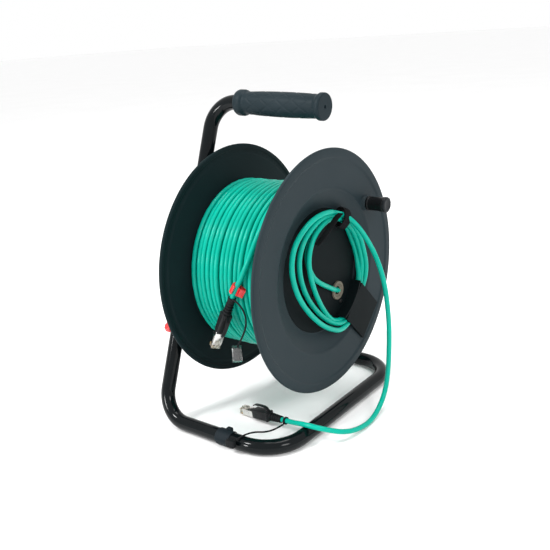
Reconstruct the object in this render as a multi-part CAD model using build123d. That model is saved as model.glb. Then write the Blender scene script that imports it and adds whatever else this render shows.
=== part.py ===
# Portable cable drum with a one-sided tube stand, wound with a thin data cable.
# All positions are first written from the drum: X along the drum's turning axis, zero at the front
# rim, positive towards the crank side; Y sideways; Z up, zero at the turning axis.
# Each piece is then moved so that the floor is Z = 0 and the stand is centred on X = 0.
import math
import os

from build123d import *

os.makedirs("parts", exist_ok=True)

# ---- driving dimensions, millimetres -------------------------------------------------------
AXIS_H = 195.0          # turning axis above the floor
RIM_X = 81.1            # front rim from the middle of the stand
FLANGE_R = 155.0        # flange radius
DRUM_W = 148.0          # over both rims
BARREL_R = 84.0         # outside of the barrel
WIND_R = 110.0          # outside of the winding
WALL = 3.0              # moulded wall
FLOOR_X = -14.0         # bottom of the front storage recess
FLOOR_R = 80.0          # radius of that bottom
WEB_X = -16.2           # front web, under the recess disc
TUBE_R = 9.5            # stand tube
TUBE_WALL = 1.5
LEG_Y = 142.0           # legs each side of the axis
TUBE_Z = TUBE_R - AXIS_H
REAR_X = -180.5         # rear bends at the floor
NOSE_X = 9.7            # front run of the stand
TOP_X = -168.6          # top rear bend
TOP_Z = 210.5
AXLE_R = 8.0
RUN = 0.05              # running clearance on a radius
CABLE_R = 3.3           # data cable
KNOB_Y, KNOB_Z = 94.3, 68.7      # crank knob on the front flange
KNOB_END = 27.0         # end of the knob, under its cap
BRAKE_Y, BRAKE_Z = -101.7, -75.0  # brake screw through the left upright
COIL_Y, COIL_Z = 9.0, -9.0       # middle of the small coil in the recess
COIL_R, COIL_X = 76.0, -5.2
COIL_A, COIL_B = 7.5, 3.5        # coil section, half widths
GLAND_Y, GLAND_Z = 35.0, -37.0   # cable outlet in the recess disc
DISC_SCREW_Y, DISC_SCREW_Z = 42.5, -54.5
BRIDGE_DEG = -46.0               # direction of the retaining bridge
SCREW_R = 76.5                   # drum screws from the axis

nodes = {}


def polar(radius, degrees):
    a = math.radians(degrees)
    return radius * math.cos(a), radius * math.sin(a)


def turned(profile):
    """Solid of revolution about X from (x, radius) points."""
    wire = Polyline(*[(x, 0, r) for x, r in profile], close=True)
    return revolve(make_face(wire), Axis.X, 360)


def rod(x0, x1, radius, y=0.0, z=0.0):
    """Cylinder along X from x0 to x1."""
    plane = Plane(origin=(x0, y, z), x_dir=(0, 1, 0), z_dir=(1, 0, 0))
    return extrude(plane * Circle(radius), x1 - x0)


def hexrod(x0, x1, flats, y=0.0, z=0.0):
    plane = Plane(origin=(x0, y, z), x_dir=(0, 1, 0), z_dir=(1, 0, 0))
    return extrude(plane * RegularPolygon(flats / 2, 6, major_radius=False), x1 - x0)


def path_through(points, radii):
    return FilletPolyline(*points, radius=radii)


def swept(points, radii, profile):
    line = path_through(points, radii)
    first = Vector(*points[0])
    second = Vector(*points[1])
    plane = Plane(origin=first, z_dir=(second - first).normalized())
    return sweep(plane * profile, path=line)


def cord_radii(points):
    """Bend radii that use 0.45 of the shorter run at each turn."""
    radii = []
    for a, b, c in zip(points, points[1:], points[2:]):
        u = Vector(*b) - Vector(*a)
        v = Vector(*c) - Vector(*b)
        turn = math.radians(u.get_angle(v))
        radii.append(0.45 * min(u.length, v.length) / math.tan(turn / 2))
    return radii


def cord(points, radius=CABLE_R):
    radii = cord_radii(points)
    solid = swept(points, radii, Circle(radius))
    length = path_through(points, radii).length
    ratio = solid.volume / (math.pi * radius ** 2 * length)
    print("cord length %.1f smallest bend %.1f volume ratio %.4f" % (length, min(radii), ratio))
    return solid


def joined(pieces):
    """Several separate solids kept as one node."""
    whole_set = pieces[0]
    for piece in pieces[1:]:
        whole_set = whole_set + piece
    return whole_set


# ---- stand: two bent tubes, a clip over their joint, the grip ------------------------------
RISE = TOP_Z - TUBE_Z
RUN_X = TOP_X - REAR_X


def upright(side, share):
    """Point on an upright's centre line; share 0 at the floor bend, 1 at the top bend."""
    return (REAR_X + RUN_X * share, side * LEG_Y * (1 - share), TUBE_Z + RISE * share)


pipe = Circle(TUBE_R) - Circle(TUBE_R - TUBE_WALL)
JOINT_X = -70.0
handle_path = [(-2.0, 0, 204.6), (TOP_X, 0, TOP_Z), upright(-1, 0), (JOINT_X - 0.5, -LEG_Y, TUBE_Z)]
handle_tube = swept(handle_path, [35, 38], pipe)
base_path = [
    (JOINT_X + 0.5, -LEG_Y, TUBE_Z),
    (NOSE_X, -LEG_Y, TUBE_Z),
    (NOSE_X, LEG_Y, TUBE_Z),
    upright(1, 0),
    upright(1, 0.59),
]
base_tube = swept(base_path, [50, 50, 38], pipe)

LEAN = math.degrees(math.atan2(RUN_X, RISE))
HUB_SHARE = -TUBE_Z / RISE
hub_frame = Location(upright(0, HUB_SHARE), (0, LEAN, 0))


def at_upright(side, w):
    """Sideways place of an upright's centre line at height w up the leaning hub plate."""
    share = HUB_SHARE + w * math.cos(math.radians(LEAN)) / RISE
    return side * LEG_Y * (1 - share)


bolt_places = [(at_upright(s, w), w) for s in (-1, 1) for w in (-20.0, 18.0)]
for y, w in bolt_places:
    drill = hub_frame * rod(-12, 12, 3.2, y, w)
    handle_tube = handle_tube - drill if y < 0 else handle_tube
    base_tube = base_tube - drill if y > 0 else base_tube
handle_tube = handle_tube - rod(-200, -150, 3.2, BRAKE_Y, BRAKE_Z)
nodes["frame_handle_tube"] = handle_tube
nodes["frame_base_tube"] = base_tube

# clip over the tube joint, flat lands on the floor
clip = rod(-84, -58, TUBE_R + 2.0, -LEG_Y, TUBE_Z) - rod(-90, -50, TUBE_R, -LEG_Y, TUBE_Z)
clip = clip - Pos(-71, -LEG_Y, -AXIS_H - 10) * Box(60, 60, 20)
clip = clip + Pos(-71, -LEG_Y + 5.5, TUBE_Z + 10.2) * Box(9, 6, 5)
clip = clip - rod(-90, -50, TUBE_R, -LEG_Y, TUBE_Z)
clip = clip - Pos(-71, -LEG_Y, -AXIS_H) * Box(60, 5.0, 4.0)
nodes["leg_clip_left"] = clip
nodes["leg_clip_right"] = mirror(clip, Plane.XZ)

# hand grip on the sloping top tube, drawn from its closed front end backwards
grip_axis = (Vector(TOP_X, 0, TOP_Z) - Vector(-2, 0, 204.6)).normalized()
grip_plane = Plane(origin=(3.0, 0, 204.42), x_dir=(0, 1, 0), z_dir=grip_axis)
grip_profile = [
    (0, 0), (15.0, 0), (16.5, 1.5), (16.5, 6.0), (15.0, 8.0), (14.2, 10.5), (14.6, 14), (15.3, 45),
    (15.4, 65), (15.1, 90), (14.0, 116), (14.0, 119), (16.3, 121), (16.3, 134.0), (15.0, 135.5),
    (TUBE_R, 135.5), (TUBE_R, 4.9), (0, 4.9),
]
grip = revolve(make_face(Polyline(*[(r, 0, h) for r, h in grip_profile], close=True)), Axis.Z, 360)
grip = grip - Cylinder(1.5, 20)
nodes["handle_grip"] = grip_plane.location * grip - swept(handle_path, [35, 38], Circle(TUBE_R))

# plug in the open top end of the right upright
end_plane = Plane(origin=upright(1, 0.59), z_dir=Vector(*upright(1, 0.59)) - Vector(*upright(1, 0)))
end_plug = extrude(end_plane * Circle(TUBE_R), 2.5)
end_plug = end_plug + extrude(end_plane * Circle(TUBE_R - TUBE_WALL), -10)
nodes["tube_end_plug"] = end_plug

# ---- hub plate, bolts and axle ------------------------------------------------------------
PLATE_T = 3.0
plate_outline = [(-97, -38), (97, -38), (72, 34), (-72, 34)]
plate = extrude(make_face(Polyline(*[(TUBE_R, y, w) for y, w in plate_outline], close=True)), PLATE_T)
if plate.bounding_box().min.X < TUBE_R - 0.5:
    plate = Pos(PLATE_T, 0, 0) * plate
for y, w in bolt_places:
    plate = plate - rod(0, 20, 3.2, y, w)
plate = hub_frame * plate
plate = plate - rod(-175, -150, AXLE_R + 0.2)
nodes["hub_plate"] = plate
bolts = []
nuts = []
for y, w in bolt_places:
    head = hexrod(-TUBE_R - 4.0, -TUBE_R, 10, y, w)
    bolts.append(hub_frame * (head + rod(-TUBE_R, TUBE_R + PLATE_T + 6.0, 3.0, y, w)))
    nuts.append(hub_frame * (hexrod(TUBE_R + PLATE_T, TUBE_R + PLATE_T + 5.0, 10, y, w)
                             - rod(0, 40, 3.0, y, w)))
nodes["hub_plate_bolts"] = joined(bolts)
nodes["hub_plate_nuts"] = joined(nuts)
axle = rod(-177.0, -19.5, AXLE_R) + rod(-161.8, -156.8, 14.0)
axle = axle - (rod(-23.5, -22.1, AXLE_R + 1) - rod(-23.5, -22.1, AXLE_R - 0.6))
nodes["axle"] = chamfer(axle.edges().filter_by(GeomType.CIRCLE).sort_by(Axis.X)[-1], 1.0)
nodes["axle_nut"] = hexrod(-176.0, -166.1, 24) - rod(-180, -160, AXLE_R)
nodes["rear_thrust_washer"] = rod(-156.7, -151.4, 12.5) - rod(-160, -150, AXLE_R + 0.1)
nodes["front_thrust_washer"] = rod(-24.9, -23.6, 12.0) - rod(-30, -20, AXLE_R + 0.1)
circlip = rod(-23.4, -22.2, 11.0) - rod(-24, -22, AXLE_R - 0.6)
nodes["axle_circlip"] = circlip - Pos(-22.8, 0, 9) * Box(3, 5, 8)

# ---- brake: red knob behind the left upright, stud through it, pad facing the rear flange --
knob = rod(-197.6, -187.3, 7.0, BRAKE_Y, BRAKE_Z)
for k in range(8):
    dy, dz = polar(7.6, 45 * k)
    knob = knob - rod(-199, -186, 1.5, BRAKE_Y + dy, BRAKE_Z + dz)
nodes["brake_knob"] = knob - rod(-194.0, -187, 3.0, BRAKE_Y, BRAKE_Z)
nodes["brake_stud"] = rod(-194.0, -151.0, 3.0, BRAKE_Y, BRAKE_Z)
pad = rod(-156.5, -149.6, 7.5, BRAKE_Y, BRAKE_Z)
nodes["brake_pad"] = pad - rod(-157, -150.6 + 0.2, 3.0 + RUN, BRAKE_Y, BRAKE_Z)

# ---- drum: two dished flanges, barrel, bushes, screws, recess disc ------------------------
face = [(0, 153.5), (0, 144.0), (-1.6, 141.5), (-3.2, 107.0), (-3.8, 105.0), (-5.0, 103.0)]
throat = [(-12.6, 84.4), (FLOOR_X, 81.5), (FLOOR_X, FLOOR_R), (WEB_X, FLOOR_R)]
back = [
    (-20.5, 84.5), (-16.1, 84.5), (-7.8, 104.2), (-6.3, 107.5), (-4.8, 141.0), (-3.6, 144.0),
    (-3.6, 148.0), (-5.0, 149.5), (-5.0, 153.5), (-3.5, 155.0), (-1.5, 155.0),
]
front_web = [(WEB_X, 71.5), (-18.0, 70.0), (-18.0, 14.0), (-46.0, 14.0), (-46.0, 24.0), (-20.5, 24.0)]
rear_web = [(WEB_X, 71.5), (-17.0, 70.0), (-17.0, 24.0), (3.0, 24.0), (3.0, 14.0), (-36.0, 14.0),
            (-36.0, 24.0), (-20.5, 24.0)]
front = turned(face + throat + front_web + back)
rear = mirror(turned(face + throat + rear_web + back), Plane.YZ)
rear = Pos(-DRUM_W, 0, 0) * rear
screw_places = [polar(SCREW_R, 30 + 60 * k) for k in range(6)]
for y, z in screw_places:
    front = front - rod(-22, -15, 2.0, y, z)
    rear = rear - rod(-135, -120, 2.2, y, z)
crank_boss = rod(-6.0, 1.8, 9.9, KNOB_Y, KNOB_Z) - turned([(-60, 0)] + back[3:6] + [(-60, 144)])
front = front + crank_boss - rod(-10, 5, 4.0, KNOB_Y, KNOB_Z)
nodes["front_flange"] = front
nodes["rear_flange"] = rear
barrel = rod(-DRUM_W + 20.5, -20.5, BARREL_R) - rod(-DRUM_W, 0, BARREL_R - WALL)
for y, z in screw_places:
    barrel = barrel + rod(-DRUM_W + 20.5, -20.5, 5.2, y, z)
for y, z in screw_places:
    barrel = barrel - rod(-DRUM_W, 0, 2.1, y, z)
barrel = barrel - Pos(-32, 0, BARREL_R) * Cylinder(4.5, 20)
nodes["drum_barrel"] = barrel
screws = []
for y, z in screw_places:
    head = rod(-134.6, -131.85, 3.4, y, z) - Pos(-134.6, y, z) * Box(2.4, 5.0, 1.1)
    screws.append(head + rod(-131.85, -17.0, 1.95, y, z))
nodes["drum_screws"] = joined(screws)
bush = rod(-151.0, -126.0, 14.0) - rod(-160, -120, AXLE_R + RUN)
nodes["rear_bush"] = bush
nodes["front_bush"] = Pos(100.8, 0, 0) * bush

disc = rod(WEB_X, FLOOR_X, FLOOR_R - 0.2)
disc = disc - rod(-20, -10, 9.4, GLAND_Y, GLAND_Z)
disc = disc - Pos(-15, -21, -25) * Box(6, 3.0, 6.5)
disc = disc - rod(-20, -10, 1.6, DISC_SCREW_Y, DISC_SCREW_Z)
nodes["recess_disc"] = disc
disc_screw = rod(FLOOR_X, FLOOR_X + 1.4, 3.2, DISC_SCREW_Y, DISC_SCREW_Z)
nodes["recess_disc_screw"] = disc_screw + rod(WEB_X, FLOOR_X, 1.6, DISC_SCREW_Y, DISC_SCREW_Z)

# cable outlet: stepped ring with a slanting hole for the cable
lead_points = [
    (-14.8, 39.0, -38.6), (-8.6, 27.0, -36.6), (-4.8, 10.0, -32.0), (-5.0, -12.0, -20.0),
    (-6.5, -34.0, 1.0), (-6.5, -48.0, 27.0),
]
gland = rod(FLOOR_X, FLOOR_X + 2.6, 12.5, GLAND_Y, GLAND_Z)
gland = gland - rod(FLOOR_X + 1.4, FLOOR_X + 4, 8.6, GLAND_Y, GLAND_Z)
gland = gland + rod(-16.0, FLOOR_X, 9.3, GLAND_Y, GLAND_Z)
lead = cord(lead_points)
nodes["cable_outlet_ring"] = gland - lead

# bridge that holds the small coil in the recess
bridge = Pos(-0.2, 106.5, 0) * Box(2.4, 57, 56)
bridge = bridge + Pos(-1.9, 120.5, 0) * Box(5.8, 29, 56)
wall_ring = rod(FLOOR_X, 1.0, 79.2) - rod(-20, 5, 76.6)
bridge = bridge - rod(-20, 5, 76.6)
bridge = bridge + (wall_ring & (Pos(-6, 78, 0) * Box(20, 40, 56)))
bridge = Rot(BRIDGE_DEG, 0, 0) * bridge
nodes["coil_bridge"] = bridge - front

# ---- crank knob -------------------------------------------------------------------------------
pin_head = rod(KNOB_END - 4.2, KNOB_END - 1.2, 6.2, KNOB_Y, KNOB_Z)
nodes["crank_pin"] = rod(-7.0, KNOB_END - 4.2, 4.0, KNOB_Y, KNOB_Z) + pin_head
crank = turned([(2.2, 0), (2.2, 9.0), (3.0, 9.6), (KNOB_END, 10.2), (KNOB_END, 0)])
crank = Pos(0, KNOB_Y, KNOB_Z) * crank
crank = crank - rod(0, 40, 4.0 + RUN, KNOB_Y, KNOB_Z)
crank = crank - rod(KNOB_END - 4.6, 40, 7.0, KNOB_Y, KNOB_Z)
nodes["crank_knob"] = crank
CAP_END = KNOB_END + 3.8
cap_profile = [
    (KNOB_END, 0), (KNOB_END, 10.2), (CAP_END - 0.9, 10.2), (CAP_END, 9.3), (CAP_END, 0),
]
knob_cap = Pos(0, KNOB_Y, KNOB_Z) * turned(cap_profile)
for k in range(6):
    dy, dz = polar(10.6, 60 * k)
    knob_cap = knob_cap - rod(CAP_END - 1.6, 40, 1.1, KNOB_Y + dy, KNOB_Z + dz)
nodes["crank_knob_cap"] = knob_cap

# ---- cable -------------------------------------------------------------------------------------
wound = [
    (-20.9, 84.4), (-20.9, 84.9), (-16.9, 84.9), (-8.7, 104.4), (-7.0, WIND_R), (7.0 - DRUM_W, WIND_R),
    (8.7 - DRUM_W, 104.4), (16.9 - DRUM_W, 84.9), (20.9 - DRUM_W, 84.9), (20.9 - DRUM_W, 84.4),
]
nodes["cable_winding"] = turned(wound)

# outer end: crosses the winding and hangs from the red clip to its plug
A_START = Vector(-66.0, -115.9, -10.0)
A_DIR = Vector(-6.0, -0.9, -13.0).normalized()
tail_points = [
    (-33.0, -67.0, 94.0), (-36.5, -90.5, 71.5), (-40.0, -105.8, 46.0), (-48.5, -113.8, 21.0),
    (-60.0, -115.0, 3.0), tuple(A_START),
]
tail = cord(tail_points)
nodes["cable_outer_tail"] = tail

# inner end: outlet -> coil in the recess -> hangs in front of the drum -> over the front run
coil_plane = Plane(origin=(COIL_X, COIL_Y, COIL_Z + COIL_R), x_dir=(1, 0, 0), z_dir=(0, 1, 0))
coil_face = coil_plane * Ellipse(COIL_B, COIL_A)
coil = revolve(coil_face, Axis((COIL_X, COIL_Y, COIL_Z), (1, 0, 0)), 360)
nodes["cable_recess_coil"] = coil
nodes["cable_outlet_lead"] = lead - coil

MEET_X = 10.0
SPLIT = 0.4
hanging = [
    (-3.0, 20.0, 72.0), (-1.5, 38.0, 66.0), (6.0, 49.0, 55.0), (18.0, 52.5, 40.0), (34.0, 54.0, 14.0),
    (45.0, 58.0, -24.0), (50.0, 58.5, -75.0), (51.5, 55.0, -112.0), (53.0, 48.0, -148.0),
    (52.0, 38.0, -177.0), (55.0, 8.0, -191.5), (57.0, -24.0, -191.0), (52.0, -57.0, -184.5),
    (35.0, -81.0, -173.2), (8.0, -86.0, -171.2), (-14.0, -79.5, -178.2), (-32.0, -77.5, -180.1),
]
whole = cord(hanging)
meet_side = Pos(MEET_X + 200, 0, 100) * Box(400, 400, 200)
drum_side = Pos(MEET_X + SPLIT - 200, 0, 100) * Box(400, 400, 200)
nodes["cable_hanging"] = whole - drum_side
stub = cord(hanging[:5])
nodes["cable_coil_exit"] = stub - meet_side - coil

# strap round the top of the small coil
STRAP_DEG = 67.0
outer = extrude(Plane.XY * Ellipse(8.6, 13.2), 7.5, both=True)
inner = extrude(Plane.XY * Ellipse(7.0, 11.5), 9, both=True)
band = Rot(90, 0, 0) * (outer - inner)
band = Pos(COIL_X + 1.2, 0, COIL_R) * band
band = Pos(0, COIL_Y, COIL_Z) * Rot(STRAP_DEG - 90, 0, 0) * band
tail_top = [(42.0, 75.2), (12.0, 69.2), (-28.0, 45.6)]
tail_bottom = [(-28.6, 44.3), (12.3, 67.6), (42.0, 73.6)]
strap_tail = make_face(Polyline(*[(-0.6, y, z) for y, z in tail_top + tail_bottom], close=True))
strap_tail = extrude(strap_tail, 8.0, dir=(1, 0, 0))
nodes["coil_strap"] = band + strap_tail - whole - coil


# ---- plugs: each drawn along its own Z from the cable's end to the contacts ----------------
def plug_pieces(plane):
    relief = revolve(make_face(Polyline((0, 0, 0), (4.6, 0, 0), (5.8, 0, 20), (0, 0, 20), close=True)),
                     Axis.Z, 360)
    for h in (4, 8, 12, 16):
        relief = relief - (Pos(0, 0, h) * (Cylinder(8, 1.6) - Cylinder(4.4, 1.8)))
    body = Box(12.4, 12.8, 29, align=(Align.CENTER, Align.CENTER, Align.MIN))
    body = Pos(0, 0, 20) * fillet(body.edges().filter_by(Axis.Z), 1.8)
    body = body - Pos(0, 6.8, 36) * Box(6, 1.6, 12) - Pos(0, -6.8, 36) * Box(6, 1.6, 12)
    shell = Pos(-0.8, 0, 49) * Box(8.4, 11.8, 18.5, align=(Align.CENTER, Align.CENTER, Align.MIN))
    tip = Pos(-0.8, 0, 67.5) * Box(7.8, 11.2, 5.5, align=(Align.CENTER, Align.CENTER, Align.MIN))
    for k in range(8):
        tip = tip - Pos(-4.7, -3.57 + 1.02 * k, 70.5) * Box(1.6, 0.5, 5.2)
    guard = extrude(guard_outline(), 1.9, both=True)
    moved = plane.location
    return {
        "relief": moved * relief,
        "body": moved * body,
        "shell": moved * shell,
        "tip": moved * tip,
        "guard": moved * guard,
    }


def guard_outline():
    """Flat strip outline, 1.5 thick, of the guard's side view."""
    outer_pts = [(6.2, 20.4), (12.8, 26.6), (12.8, 45.4), (10.6, 49.6)]
    inner_pts = [(9.4, 48.8), (11.3, 45.0), (11.3, 27.4), (6.2, 22.6)]
    return make_face(Polyline(*[(x, 0, h) for x, h in outer_pts + inner_pts], close=True))


A_PLANE = Plane(origin=A_START, x_dir=(0.75, -0.55, -0.3156), z_dir=A_DIR)
B_START = Vector(*hanging[-1])
B_DIR = (B_START - Vector(*hanging[-2])).normalized()
B_PLANE = Plane(origin=B_START, x_dir=(-0.09, 0.0, 1.0), z_dir=B_DIR)
for tag, plane in (("outer", A_PLANE), ("inner", B_PLANE)):
    pieces = plug_pieces(plane)
    nodes[tag + "_plug_relief"] = pieces["relief"]
    nodes[tag + "_plug_body"] = pieces["body"]
    nodes[tag + "_plug_shell"] = pieces["shell"]
    nodes[tag + "_plug_tip"] = pieces["tip"]
    nodes[tag + "_plug_guard"] = pieces["guard"]

# red C-shaped cable clip on the outer end, just above its plug
clip_dir = Vector(-13.0, -1.3, -20.0).normalized()
clip_plane = Plane(origin=Vector(-59.3, -114.9, 4.2), x_dir=(0.75, -0.55, -0.4517), z_dir=clip_dir)
red = Cylinder(4.9, 12) - Cylinder(CABLE_R, 20) - Pos(-5, 0, 0) * Box(6, 4.2, 20)
red = red + Pos(7.2, 0, 0) * Box(5.6, 5.0, 12) - Cylinder(CABLE_R, 20)
nodes["red_cable_clip"] = clip_plane.location * red - tail


# tether rings, straps and dust caps
def tether(ring_centre, ring_dir, points, strap_r=0.8):
    ring_plane = Plane(origin=ring_centre, z_dir=ring_dir)
    ring = Cylinder(4.9, 3.2) - Cylinder(CABLE_R, 5)
    radii = cord_radii(points)
    return ring_plane.location * ring + swept(points, radii, Circle(strap_r))


a_ring = A_START - A_DIR * 1.7
outer_cap = Pos(-58.5, -122.5, -76.0) * Box(9.5, 9.5, 17)
outer_tether = [
    (-61.5, -118.5, -8.6), (-50.5, -122.0, -9.0), (-40.5, -122.0, -22.0), (-41.0, -122.0, -38.0),
    (-50.0, -122.3, -56.0), (-57.5, -122.5, -67.5),
]
nodes["outer_cap_tether"] = tether(a_ring, A_DIR, outer_tether) - tail - nodes["outer_plug_relief"]
nodes["outer_dust_cap"] = outer_cap - nodes["outer_cap_tether"]
sleeve = Pos(-58.5, -122.5, -76.4) * (Box(12.0, 12.0, 18.6) - Box(9.5, 9.5, 30))
nodes["outer_cap_sleeve"] = sleeve - nodes["outer_cap_tether"]
b_ring = B_START - B_DIR * 7.0
inner_tether = [
    (-27.0, -81.0, -183.5), (-27.5, -95.0, -183.5), (-31.0, -113.0, -180.5), (-36.0, -129.0, -173.6),
    (-42.0, -143.0, -173.0), (-46.5, -151.0, -176.5),
]
nodes["inner_cap_tether"] = tether(b_ring, B_DIR, inner_tether) - whole
cap_b = Pos(-51.4, -156.2, -180.5) * Box(13.0, 6.4, 9.0)
nodes["inner_dust_cap"] = cap_b - rod(-100, 0, TUBE_R + 0.05, -LEG_Y, TUBE_Z) - nodes["inner_cap_tether"]

# ---- shift to the floor frame and write ------------------------------------------------------
place = Pos(RIM_X, 0, AXIS_H)
low = [1e9] * 3
high = [-1e9] * 3
for name, solid in nodes.items():
    moved = place * solid
    export_step(moved, os.path.join("parts", name + ".step"))
    box = moved.bounding_box()
    print("%-22s solids %d volume %9.1f x %.1f..%.1f y %.1f..%.1f z %.1f..%.1f" % (
        name, len(moved.solids()), moved.volume, box.min.X, box.max.X, box.min.Y, box.max.Y,
        box.min.Z, box.max.Z))
    if "cable" in name or "plug_" in name or "cap" in name or "tether" in name:
        continue
    low = [min(low[0], box.min.X), min(low[1], box.min.Y), min(low[2], box.min.Z)]
    high = [max(high[0], box.max.X), max(high[1], box.max.Y), max(high[2], box.max.Z)]
print("body without cord pieces", low, high)
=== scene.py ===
import bmesh
import bpy
import math
from mathutils import Matrix, Vector


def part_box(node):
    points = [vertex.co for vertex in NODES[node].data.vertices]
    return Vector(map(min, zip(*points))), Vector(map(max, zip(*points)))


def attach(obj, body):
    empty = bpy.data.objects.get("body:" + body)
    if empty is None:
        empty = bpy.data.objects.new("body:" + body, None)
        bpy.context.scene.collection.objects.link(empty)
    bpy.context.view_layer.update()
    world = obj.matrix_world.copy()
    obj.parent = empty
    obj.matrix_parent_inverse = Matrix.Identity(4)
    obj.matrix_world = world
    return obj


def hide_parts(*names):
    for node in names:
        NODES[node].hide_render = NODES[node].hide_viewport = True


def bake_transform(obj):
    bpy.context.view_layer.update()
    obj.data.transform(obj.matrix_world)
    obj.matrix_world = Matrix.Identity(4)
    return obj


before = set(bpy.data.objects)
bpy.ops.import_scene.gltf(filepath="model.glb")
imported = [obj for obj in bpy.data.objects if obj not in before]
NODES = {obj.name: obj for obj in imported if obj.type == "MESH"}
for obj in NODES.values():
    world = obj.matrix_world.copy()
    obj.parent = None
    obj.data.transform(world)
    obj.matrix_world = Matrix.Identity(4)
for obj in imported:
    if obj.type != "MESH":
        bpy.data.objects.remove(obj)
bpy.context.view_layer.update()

# ---- the drum's own frame: X along the turning axis from the front rim, Y sideways, Z up, mm ----
MM = 0.001
KNOB_GAP = 2.2 * MM  # from the front rim to the crank knob
RIM_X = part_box("crank_knob")[0].x - KNOB_GAP
AXIS_Z = (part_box("front_flange")[0].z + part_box("front_flange")[1].z) / 2
TO_FRAME = Matrix.Translation((RIM_X, 0, AXIS_Z)) @ Matrix.Scale(MM, 4)
CABLE_D = 0.0066
TETHER_D = 0.0022
FIT_R = 3.35  # bore of what sits round the cable, in mm


def at(x, y, z):
    """A point of the drum's frame, given in mm, as a place in the shared frame."""
    return TO_FRAME @ Vector((x, y, z))


# ---- materials ------------------------------------------------------------------------------
def look(name, dark, light, rough=(0.4, 0.5), grain=(900, 0.15, 0.0002), blotch=22.0, metal=0.0,
         coat=0.0, clear=0.0, wear=None, specular=0.5):
    """Procedural surface: two-tone blotches, uneven roughness and a fine bump.

    grain is the bump's scale, strength and depth; wear is the colour of rubbed edges.
    """
    mat = bpy.data.materials.new(name)
    mat.use_nodes = True
    tree = mat.node_tree
    link = tree.links.new
    shader = tree.nodes["Principled BSDF"]
    shader.inputs["Metallic"].default_value = metal
    shader.inputs["Coat Weight"].default_value = coat
    shader.inputs["Coat Roughness"].default_value = 0.12
    shader.inputs["Transmission Weight"].default_value = clear
    shader.inputs["Specular IOR Level"].default_value = specular
    where = tree.nodes.new("ShaderNodeTexCoord")

    def noise(scale, detail=4.0):
        node = tree.nodes.new("ShaderNodeTexNoise")
        node.inputs["Scale"].default_value = scale
        node.inputs["Detail"].default_value = detail
        link(where.outputs["Object"], node.inputs["Vector"])
        return node

    tone = tree.nodes.new("ShaderNodeValToRGB")
    tone.color_ramp.elements[0].position = 0.3
    tone.color_ramp.elements[1].position = 0.7
    tone.color_ramp.elements[0].color = (*dark, 1)
    tone.color_ramp.elements[1].color = (*light, 1)
    link(noise(blotch).outputs["Fac"], tone.inputs["Fac"])
    colour = tone.outputs["Color"]
    if wear:
        edge = tree.nodes.new("ShaderNodeNewGeometry")
        lift = tree.nodes.new("ShaderNodeMapRange")
        lift.inputs["From Min"].default_value = 0.52
        lift.inputs["From Max"].default_value = 0.62
        lift.inputs["To Max"].default_value = 0.5
        link(edge.outputs["Pointiness"], lift.inputs["Value"])
        mix = tree.nodes.new("ShaderNodeMix")
        mix.data_type = "RGBA"
        link(lift.outputs["Result"], mix.inputs["Factor"])
        link(colour, mix.inputs["A"])
        mix.inputs["B"].default_value = (*wear, 1)
        colour = mix.outputs["Result"]
    link(colour, shader.inputs["Base Color"])
    spread = tree.nodes.new("ShaderNodeMapRange")
    spread.inputs["To Min"].default_value = rough[0]
    spread.inputs["To Max"].default_value = rough[1]
    link(noise(blotch * 4).outputs["Fac"], spread.inputs["Value"])
    link(spread.outputs["Result"], shader.inputs["Roughness"])
    bump = tree.nodes.new("ShaderNodeBump")
    bump.inputs["Strength"].default_value = grain[1]
    bump.inputs["Distance"].default_value = grain[2]
    link(noise(grain[0], 3.0).outputs["Fac"], bump.inputs["Height"])
    link(bump.outputs["Normal"], shader.inputs["Normal"])
    return mat


PAINT = look("gloss_black_paint", (0.0015, 0.0028, 0.0034), (0.003, 0.0048, 0.0056), (0.07, 0.14),
             (260, 0.04, 0.0003), specular=0.16)
PLATE = look("satin_black_plate", (0.012, 0.012, 0.013), (0.02, 0.02, 0.021), (0.38, 0.5),
             (700, 0.12, 0.0002), wear=(0.06, 0.06, 0.06))
GRIP = look("grip_rubber", (0.006, 0.014, 0.018), (0.010, 0.019, 0.024), (0.42, 0.55), (1500, 0.2, 0.0001),
            specular=0.12)
CLIP = look("grey_clip", (0.005, 0.009, 0.012), (0.008, 0.013, 0.017), (0.45, 0.58), (1200, 0.2, 0.0001),
            specular=0.1)
FLANGE = look("flange_moulding", (0.0130, 0.0225, 0.0270), (0.0160, 0.0260, 0.0310), (0.46, 0.54),
              (1300, 0.22, 0.00012), blotch=9.0, wear=(0.03, 0.042, 0.048), specular=0.12)
# darker, greener copy of the flange moulding: painted shade on the rear flange, where the front flange and
# the winding shut out the light
SHADE_PAINTED_REAR_FLANGE = look("rear_flange_moulding_painted_shade", (0.0050, 0.0125, 0.0140), (0.0065, 0.0150, 0.0165), (0.48, 0.56),
                   (1300, 0.22, 0.00012), blotch=9.0, wear=(0.02, 0.032, 0.035), specular=0.05)
# the flange moulding darkened several times over: painted shade in the front recess and under the coil bridge
SHADE_PAINTED_RECESS = look("recess_painted_shade", (0.0025, 0.0050, 0.0055), (0.004, 0.0070, 0.0080), (0.5, 0.6),
              (1300, 0.22, 0.00012), blotch=12.0, specular=0.05)
BARREL = look("barrel_moulding", (0.006, 0.007, 0.008), (0.010, 0.011, 0.012), (0.5, 0.6), specular=0.15)
ZINC = look("zinc_plate", (0.50, 0.50, 0.49), (0.66, 0.66, 0.65), (0.25, 0.42), (900, 0.1, 0.0001),
            metal=1.0)
NICKEL = look("nickel_shell", (0.58, 0.57, 0.55), (0.78, 0.77, 0.75), (0.14, 0.26), (500, 0.06, 0.0002),
              metal=1.0)
GOLD = look("gold_contacts", (0.70, 0.48, 0.16), (0.85, 0.62, 0.25), (0.2, 0.3), metal=1.0)
BLACK_SCREW = look("black_screw", (0.015, 0.015, 0.015), (0.03, 0.03, 0.03), (0.3, 0.42), metal=0.6)
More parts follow.
